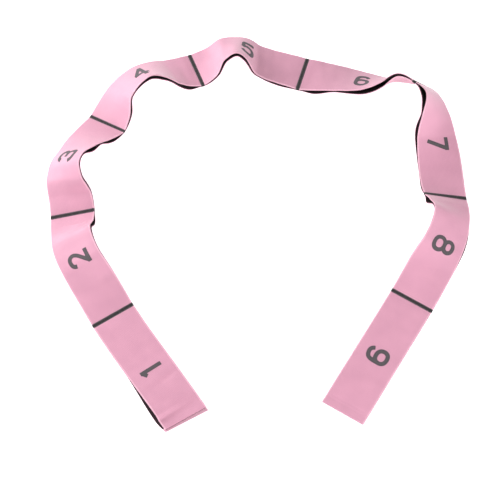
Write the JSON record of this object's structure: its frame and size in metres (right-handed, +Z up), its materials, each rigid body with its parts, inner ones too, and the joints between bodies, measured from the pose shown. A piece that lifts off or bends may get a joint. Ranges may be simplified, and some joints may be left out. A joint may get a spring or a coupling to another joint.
{
  "type": "stretching strap",
  "caption": "Elastic stretching strap: a long two-layer woven band divided by cross seams into a row of numbered hand and foot loops, laid in an arch.",
  "frame": {"origin": "on the surface that the strap lies on, under the middle of its bounding box", "axes": "+Z up, away from the surface; -Y towards the open side of the arch, where the two flat end loops lie; loop 1 at -X and loop 9 at +X"},
  "size_m": [0.3742, 0.3768, 0.0444],
  "materials": {
    "pink_webbing": "soft matt elastic webbing with fine cross ribs",
    "dark_yarn": "matt dark grey yarn woven into the webbing"
  },
  "bodies": {
    "loop_1": {"loop_1_top": "pink_webbing", "loop_1_bottom": "pink_webbing", "end_1_seam": "pink_webbing", "end_1_flap_top": "pink_webbing", "end_1_flap_bottom": "pink_webbing"},
    "loop_2": {"loop_2_top": "pink_webbing", "loop_2_bottom": "pink_webbing", "seam_1_2": "dark_yarn"},
    "loop_3": {"loop_3_top": "pink_webbing", "loop_3_bottom": "pink_webbing", "seam_2_3": "dark_yarn"},
    "loop_4": {"loop_4_top": "pink_webbing", "loop_4_bottom": "pink_webbing", "seam_3_4": "dark_yarn"},
    "loop_5": {"loop_5_top": "pink_webbing", "loop_5_bottom": "pink_webbing", "seam_4_5": "dark_yarn", "seam_5_6": "dark_yarn"},
    "loop_6": {"loop_6_top": "pink_webbing", "loop_6_bottom": "pink_webbing", "seam_6_7": "dark_yarn"},
    "loop_7": {"loop_7_top": "pink_webbing", "loop_7_bottom": "pink_webbing", "seam_7_8": "dark_yarn"},
    "loop_8": {"loop_8_top": "pink_webbing", "loop_8_bottom": "pink_webbing", "seam_8_9": "dark_yarn"},
    "loop_9": {"loop_9_top": "pink_webbing", "loop_9_bottom": "pink_webbing", "end_9_seam": "pink_webbing", "end_9_flap_top": "pink_webbing", "end_9_flap_bottom": "pink_webbing"}
  },
  "joints": [
    {"name": "fold_1_2", "type": "hinge", "parent": "loop_2", "child": "loop_1", "pos_m": [-0.12451, -0.08475, 0.00115], "axis": [0.848, 0.5299, 0], "range_deg": [-100, 100]},
    {"name": "fold_2_3", "type": "hinge", "parent": "loop_3", "child": "loop_2", "pos_m": [-0.16292, 0.01005, 0.00462], "axis": [-0.9775, -0.12, -0.1736], "range_deg": [-100, 85]},
    {"name": "fold_3_4", "type": "hinge", "parent": "loop_4", "child": "loop_3", "pos_m": [-0.13527, 0.09913, 0.00633], "axis": [0.8101, -0.5261, 0.2588], "range_deg": [-80, 100]},
    {"name": "fold_4_5", "type": "hinge", "parent": "loop_5", "child": "loop_4", "pos_m": [-0.05578, 0.15527, 0.00531], "axis": [-0.3345, 0.9192, -0.2079], "range_deg": [-100, 90]},
    {"name": "fold_5_6", "type": "hinge", "parent": "loop_5", "child": "loop_6", "pos_m": [0.04151, 0.15091, 0.00599], "axis": [-0.2511, -0.9372, 0.2419], "range_deg": [-90, 100]},
    {"name": "fold_6_7", "type": "hinge", "parent": "loop_6", "child": "loop_7", "pos_m": [0.14584, 0.12922, 0.02647], "axis": [0.3346, 0.3716, -0.866], "range_deg": [-100, 60]},
    {"name": "fold_7_8", "type": "hinge", "parent": "loop_7", "child": "loop_8", "pos_m": [0.16641, 0.02632, 0.007], "axis": [-0.9562, -0.0167, 0.2924], "range_deg": [-90, 90]},
    {"name": "fold_8_9", "type": "hinge", "parent": "loop_8", "child": "loop_9", "pos_m": [0.13339, -0.07105, 0.00115], "axis": [0.8572, -0.515, 0], "range_deg": [-100, 100]}
  ]
}
